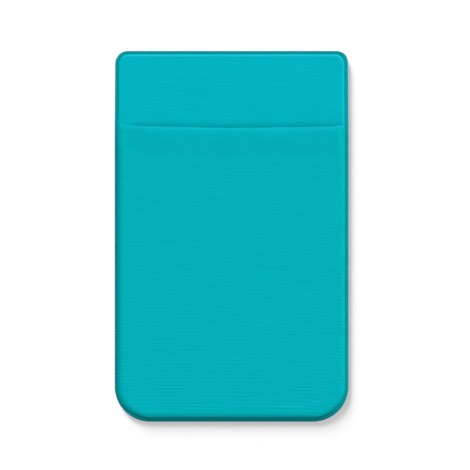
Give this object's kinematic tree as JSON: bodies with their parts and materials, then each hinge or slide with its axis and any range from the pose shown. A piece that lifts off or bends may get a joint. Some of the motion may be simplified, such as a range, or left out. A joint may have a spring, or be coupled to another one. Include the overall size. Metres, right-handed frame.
{
  "type": "stick-on phone card holder",
  "caption": "Flat stretch-knit card pocket with pressed edges, open at one short end, on a stiffened back panel with a peel-and-stick adhesive sheet.",
  "frame": {"origin": "centre of the outline, on the underside of the release liner that the holder lies on", "axes": "+Z out of the front of the pocket, +Y towards the open end, +X to the right seen from the front"},
  "size_m": [0.06, 0.0952, 0.0029],
  "materials": {
    "pocket_knit": "stretch knit in teal, fine crosswise ribs, matt with a faint sheen",
    "panel_knit": "the same knit bonded to a thin board, pressed flat along its edge",
    "adhesive": "clear pressure-sensitive adhesive, smooth",
    "liner": "silicone-coated paper, ivory, low gloss"
  },
  "bodies": {
    "root": {"front_pocket": "pocket_knit", "back_panel": "panel_knit", "adhesive_sheet": "adhesive", "release_liner": "liner"}
  },
  "joints": []
}
